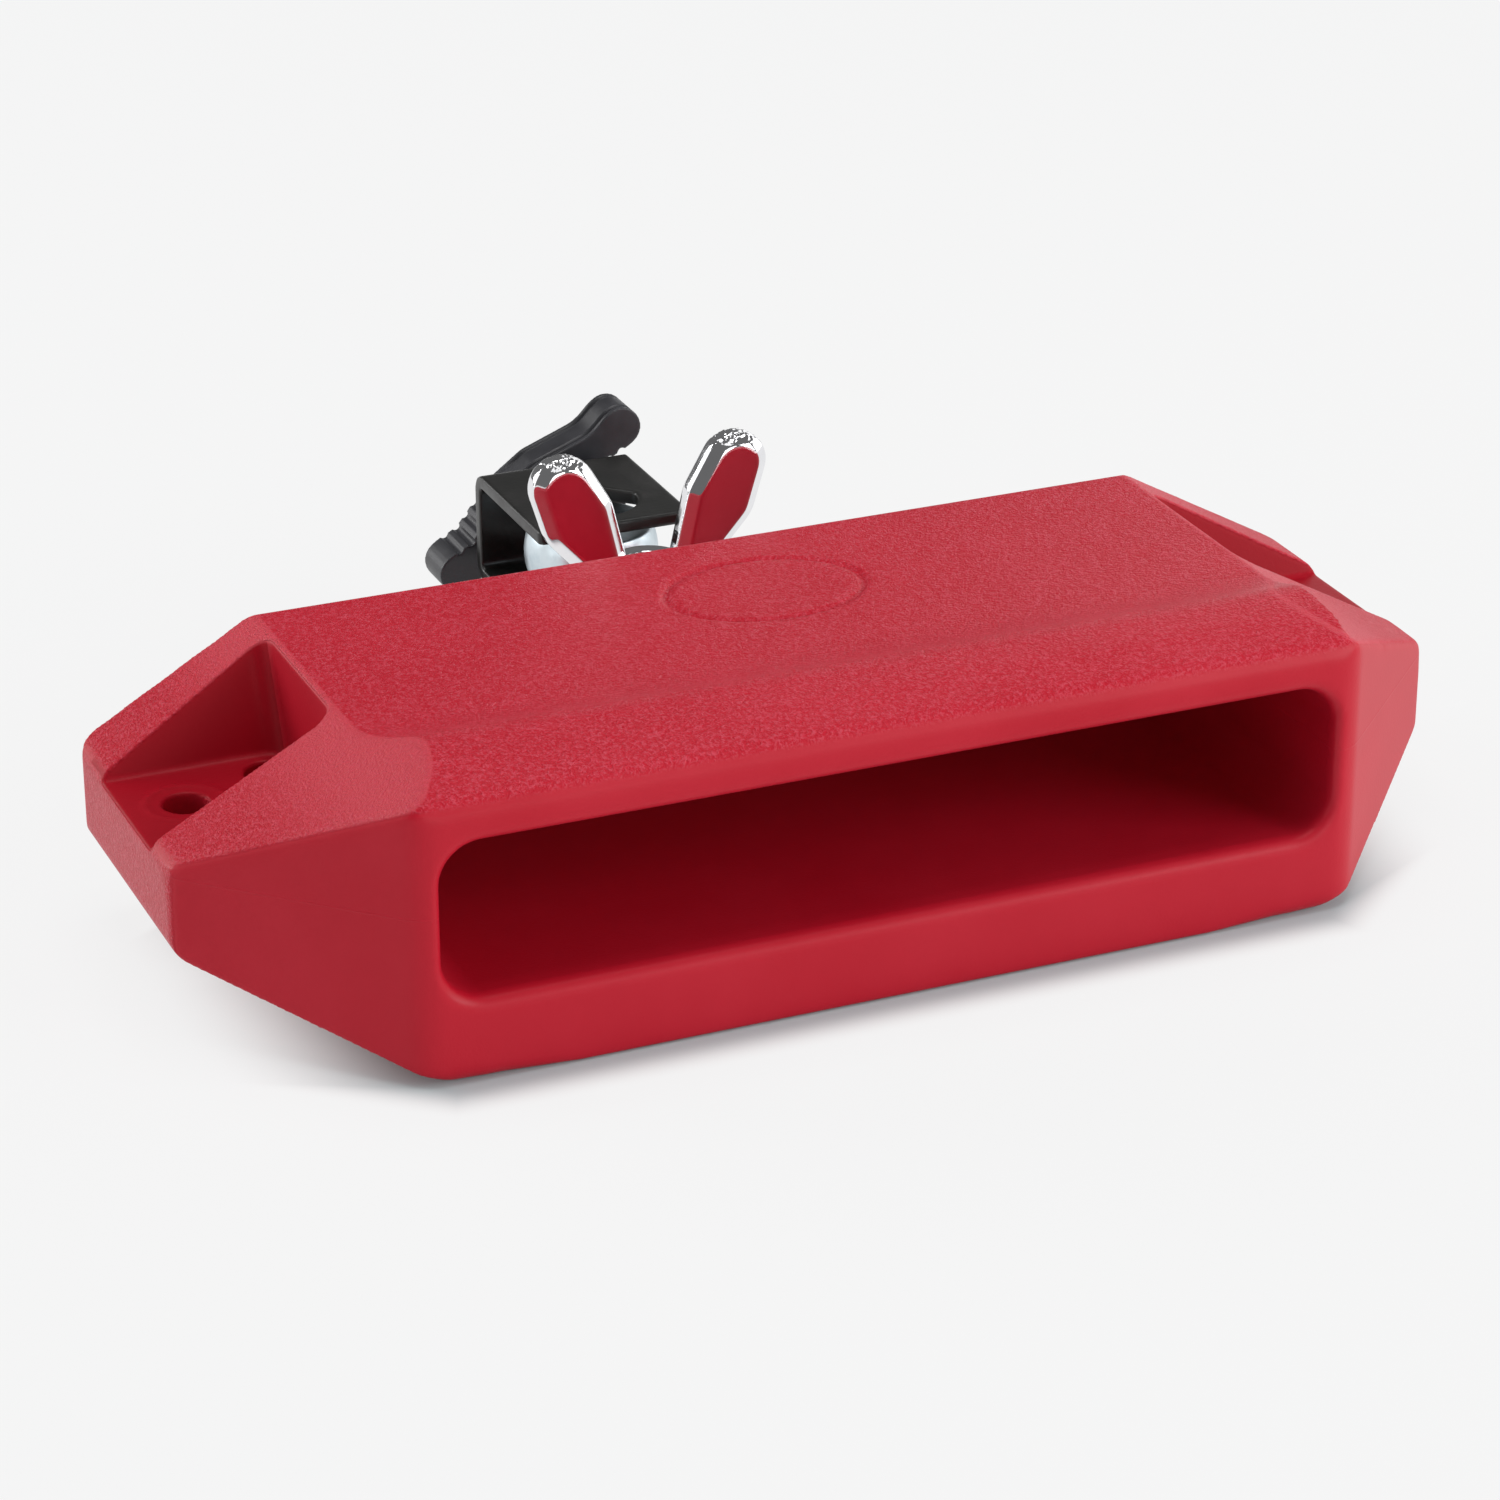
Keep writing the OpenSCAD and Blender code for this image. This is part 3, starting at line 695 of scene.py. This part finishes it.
@dataclass
class RodClamp:
    """Bracket, eye bolt, T-handle and the fasteners of the clamp."""

    shank_r: float = 4 * MM
    shank_share: float = 0.98
    neck: float = 1.2 * MM
    pitch: float = 1.25 * MM
    thread_depth: float = 0.6 * MM
    thread_start: float = 0.8
    tooth_half: float = 0.48
    tooth_root: float = 0.2
    turn_steps: int = 28
    cast_scale: float = 0.8 * MM
    cast_depth: float = 0.5 * MM
    cast_reach: Span = (0.78 * MM, 2.6 * MM)
    cast_facing: float = 0.25
    grip_thick: float = 10 * MM
    grip_upper: Span = (4 * MM, 7 * MM)
    grip_line: float = 1.7 * MM
    grip_line_half: Span = (0.25 * MM, 0.7 * MM)
    grip_line_depth: float = 0.75 * MM
    grip_facing: float = 0.5
    bracket_skin: Skin = Skin(cell=0.35 * MM, rounds=4, keep=0.3)
    nut_skin: Skin = Skin(cell=0.2 * MM, rounds=34, keep=0.8)
    handle_skin: Skin = Skin(cell=0.24 * MM, rounds=5, keep=0.6)
    eye_skin: Skin = Skin(cell=0.3 * MM, rounds=6, keep=0.5)
    fine_skin: Skin = Skin(cell=0.2 * MM, rounds=3, keep=0.5)

    def bracket(self) -> None:
        """Bent strip with its sheared edges eased by the coating."""
        piece = mesh_of("bent_bracket", merged_shape("clamp_bracket"))
        self.bracket_skin.wrap(piece)
        finish_piece(piece, "clamp", Slot.COATED, STEEL_BLACK, "clamp_bracket")

    def nut(self) -> None:
        """Cast wing nut, smooth on its faces and rough at its tips."""
        piece = mesh_of("cast_wing_nut", merged_shape("wing_nut"))
        self.nut_skin.wrap(piece, Press(self.tips, self.cast_depth, lumps=self.cast_scale))
        finish_piece(piece, "nut", Slot.CHROME, CHROME, "wing_nut")

    def tips(self, places: np.ndarray, facing: np.ndarray) -> np.ndarray:
        """Shares at the tops of the wings, where the casting was left as it came."""
        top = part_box("wing_nut")[1][2]
        return step_down(top - places[:, 2], *self.cast_reach) * (facing[:, 2] > self.cast_facing)

    def handle(self) -> None:
        """T-handle with its moulded edges rounded and a sunk line round each face."""
        piece = mesh_of("t_handle_grip", merged_shape("t_handle"))
        self.handle_skin.wrap(piece, Press(self.grip_lines, self.grip_line_depth))
        finish_piece(piece, "handle", Slot.GRIP, GRIP_BLACK, "t_handle")

    def grip_lines(self, places: np.ndarray, facing: np.ndarray) -> np.ndarray:
        """Weighs the lines that run round the upper wing, close to its front and back faces.

        Args:
            places: the skin's corners.
            facing: their directions.

        Returns:
            Each corner's share.
        """
        low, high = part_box("t_handle")
        middle = (low[2] + high[2]) / 2
        front = high[1] - self.grip_thick + self.grip_line
        back = high[1] - self.grip_line
        distance = np.minimum(np.abs(places[:, 1] - front), np.abs(places[:, 1] - back))
        upper = 1.0 - step_down(places[:, 2] - middle, *self.grip_upper)
        return step_down(distance, *self.grip_line_half) * upper * (np.abs(facing[:, 1]) < self.grip_facing)

    def eye(self) -> None:
        """Forged eye, with the thread cut into its shank."""
        low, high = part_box("eye_bolt")
        middle_z = (low[2] + high[2]) / 2
        # The eye is round, so it ends as far behind its front as it is wide
        start = low[1] + (high[0] - low[0]) + self.neck
        shape = merged_shape("eye_bolt")
        cut = bisect(shape, (0, start, 0), (0, 1, 0), clear_outer=True)
        bmesh.ops.holes_fill(shape, edges=[part for part in cut if isinstance(part, bmesh.types.BMEdge)], sides=0)
        forged = mesh_of("forged_eye", shape)
        self.eye_skin.wrap(forged)
        finish_piece(forged, "eye", Slot.ZINC, ZINC, "eye_bolt")
        screw = mesh_of("eye_thread", self.thread(high[1] - start + self.pitch))
        turn = Matrix.Translation((0, start - self.pitch, middle_z)) @ Matrix.Rotation(-math.pi / 2, 4, "X")
        screw.data.transform(turn)
        finish_piece(screw, "eye", Slot.ZINC, ZINC)

    def thread(self, length: float) -> bmesh.types.BMesh:
        """Builds a threaded rod that stands on the origin along +Z.

        Args:
            length: length of the rod.

        Returns:
            Its shape: a core with a chamfered tip, and a tooth spun round it.
        """
        shape = bmesh.new()
        crest = self.shank_r * self.shank_share
        core = crest - self.thread_depth
        tip = self.pitch / 2
        for depth, base, narrow in ((length - tip, 0.0, 0.0), (tip, length - tip, self.thread_depth)):
            bmesh.ops.create_cone(
                shape,
                cap_ends=True,
                segments=self.turn_steps,
                radius1=core,
                radius2=core - narrow,
                depth=depth,
                matrix=Matrix.Translation((0, 0, base + depth / 2)),
            )
        half = self.tooth_half * self.pitch
        sunk = core - self.tooth_root * self.thread_depth
        corners = [shape.verts.new(place) for place in ((sunk, 0, -half), (crest, 0, 0), (sunk, 0, half))]
        tooth = shape.faces.new(corners)
        bmesh.ops.translate(shape, vec=(0, 0, self.thread_start * self.pitch), verts=corners)
        turns = int((length - 2 * self.pitch) / self.pitch)
        bmesh.ops.spin(
            shape,
            geom=[tooth, *tooth.edges, *corners],
            cent=(0, 0, 0),
            axis=(0, 0, 1),
            dvec=(0, 0, self.pitch / self.turn_steps),
            angle=math.tau * turns,
            steps=self.turn_steps * turns,
            use_merge=False,
        )
        return shape

    def fasteners(self) -> None:
        """Pivot bolt, washers and threaded insert, with the sharpness taken off their edges."""
        fine = self.fine_skin
        for node, name, body, slot, finish, skin in (
            ("pivot_bolt", "carriage_bolt", "clamp", Slot.ZINC, ZINC, replace(fine, cell=0.25 * MM)),
            ("flat_washer", "flat_ring", "block", Slot.ZINC, ZINC, fine),
            ("lock_washer", "split_ring", "spring_washer", Slot.ZINC, ZINC, replace(fine, cell=0.16 * MM)),
            ("handle_washer", "thrust_ring", "clamp", Slot.ZINC, ZINC, fine),
            ("threaded_insert", "brass_insert", "handle", Slot.BRASS, BRASS, replace(fine, rounds=2)),
        ):
            piece = mesh_of(name, merged_shape(node))
            skin.wrap(piece)
            finish_piece(piece, body, slot, finish, node)

    def build(self) -> None:
        """Builds and dresses the whole clamp."""
        for step in (self.bracket, self.nut, self.handle, self.eye, self.fasteners):
            step()


@dataclass(frozen=True)
class Softbox:
    """One square studio lamp, aimed at the block."""

    name: str
    place: Point
    power: float
    size: float = 1.0
    target: Point = (0.0, 0.02, 0.03)

    def build(self) -> None:
        """Adds the lamp, aimed at its target."""
        lamp = bpy.data.lights.new(self.name, "AREA")
        lamp.shape = "SQUARE"
        lamp.size = self.size
        lamp.energy = self.power
        made = bpy.data.objects.new(self.name, lamp)
        made.location = self.place
        aim = Vector(self.target) - Vector(self.place)
        made.rotation_euler = aim.to_track_quat("-Z", "Y").to_euler()
        bpy.context.scene.collection.objects.link(made)


@dataclass
class Studio:
    """Pale floor, dim surround and soft light."""

    white: float = 0.92
    ambient: float = 0.15
    floor_half: float = 4.0
    floor_gap: float = 0.02 * MM
    floor_colour: Point = (0.8, 0.81, 0.815)
    # Painted shadow: near the block's foot the floor takes a darker, bluer colour and glows less
    floor_painted_shadow: Point = (0.49, 0.58, 0.6)
    floor_glow: Span = (0.03, 0.9)
    floor_reach: Span = (1 * MM, 11 * MM)
    footprint: Span = (84 * MM, 47 * MM)
    footprint_slant: Span = (0.28, 1.0)
    corner_slant: Span = (0.657, 0.754)
    corner_reach: float = 91.4 * MM
    softboxes: tuple[Softbox, ...] = (
        Softbox("overhead", (0.0, 0.1, 1.6), 12.7),
        Softbox("front_high", (0.0, -0.72, 1.48), 0.8, size=0.5),
        Softbox("front_low", (0.0, -1.7, 0.35), 6.7),
        Softbox("right_front", (1.2, -1.1, 0.6), 16.5),
        Softbox("right_side", (1.65, 0.0, 0.5), 6.0),
        Softbox("right_back", (1.2, 1.2, 0.6), 3.5),
        Softbox("left_side", (-1.65, 0.0, 0.5), 4.2),
        Softbox("left_back", (-1.2, 1.2, 0.6), 15.0),
    )

    def world(self) -> None:
        """Even, dim surround."""
        world = bpy.data.worlds.new("studio")
        bpy.context.scene.world = world
        world.use_nodes = True
        sheet = NodeSheet(world.node_tree)
        surround = sheet.node("ShaderNodeBackground", {"Color": (1, 1, 1, 1), "Strength": self.ambient})
        sheet.node("ShaderNodeOutputWorld", {"Surface": surround.outputs[0]})

    def away(self, sheet: NodeSheet) -> Socket:
        """Measures how far a place on the floor is from the block's foot and its slanted corners.

        Args:
            sheet: the floor's nodes.

        Returns:
            0 under the block, rising to 1 past the narrow shadow at its foot, which is partly painted.
        """
        place = sheet.parts(sheet.object_place())
        sides = [sheet.math("ABSOLUTE", place[i]) for i in (0, 1)]
        past = [sheet.math("MAXIMUM", sheet.math("SUBTRACT", sides[i], self.footprint[i]), 0.0) for i in (0, 1)]
        slanted = [sheet.math("MULTIPLY", past[i], self.footprint_slant[i]) for i in (0, 1)]
        squares = [sheet.math("MULTIPLY", side, side) for side in slanted]
        level = sheet.math("SQRT", sheet.math("ADD", *squares))
        corner = sheet.math("MULTIPLY_ADD", sides[0], self.corner_slant[0], -self.corner_reach)
        corner = sheet.math("MULTIPLY_ADD", sides[1], self.corner_slant[1], corner)
        return sheet.ramp(sheet.math("MAXIMUM", level, corner), *self.floor_reach)

    def floor(self) -> None:
        """Pale floor that keeps the object's shadow, and a painted shadow, darker and bluer, close round the block's
        foot.
        """
        shape = bmesh.new()
        bmesh.ops.create_grid(shape, x_segments=1, y_segments=1, size=self.floor_half)
        bmesh.ops.translate(shape, vec=(0, 0, -self.floor_gap), verts=shape.verts)
        floor = mesh_of("floor", shape)
        material = bpy.data.materials.new("pale_floor")
        material.use_nodes = True
        sheet = NodeSheet(material.node_tree)
        away = self.away(sheet)
        glow = sheet.node("ShaderNodeEmission", {"Color": (1, 1, 1, 1), "Strength": self.white})
        # Painted shadow: darker, bluer colour and weaker glow close round the block's foot
        matt = sheet.node("ShaderNodeBsdfDiffuse", {"Color": sheet.blend(away, self.floor_painted_shadow, self.floor_colour)})
        glow_share = sheet.math("MULTIPLY_ADD", away, self.floor_glow[1] - self.floor_glow[0], self.floor_glow[0])
        share = sheet.math("MULTIPLY", sheet.seen_directly(), glow_share)
        both = sheet.node("ShaderNodeMixShader", {0: share, 1: matt.outputs[0], 2: glow.outputs[0]})
        sheet.node("ShaderNodeOutputMaterial", {"Surface": both.outputs[0]})
        floor.data.materials.append(material)

    def build(self) -> None:
        """Sets up the surround, the floor and the lamps."""
        self.world()
        self.floor()
        for softbox in self.softboxes:
            softbox.build()


@dataclass
class Camera:
    """Camera of the photograph, worked out from the block's straight edges."""

    place: Point = (-319.84 * MM, -724.80 * MM, 390.06 * MM)
    azimuth: float = -23.1432
    elevation: float = 24.5
    roll: float = -0.096
    lens: float = 112.9
    sensor: float = 36.0
    clip: Span = (0.01, 50.0)

    def build(self) -> None:
        """Adds the camera and makes it the scene's own."""
        data = bpy.data.cameras.new("camera")
        data.lens = self.lens
        data.sensor_width = self.sensor
        data.clip_start, data.clip_end = self.clip
        made = bpy.data.objects.new("camera", data)
        turn = Matrix.Rotation(math.radians(self.azimuth), 4, "Z")
        tilt = Matrix.Rotation(math.radians(90.0 - self.elevation), 4, "X")
        roll = Matrix.Rotation(math.radians(self.roll), 4, "Z")
        made.matrix_world = Matrix.Translation(self.place) @ turn @ tilt @ roll
        bpy.context.scene.collection.objects.link(made)
        bpy.context.scene.camera = made


def main() -> None:
    """Builds the camera, the object and the studio."""
    logging.basicConfig(level=logging.INFO, format="%(message)s")
    bpy.context.scene.view_settings.view_transform = "Standard"
    Camera().build()
    MouldedBlock().build()
    RodClamp().build()
    Studio().build()


if __name__ == "__main__":
    main()
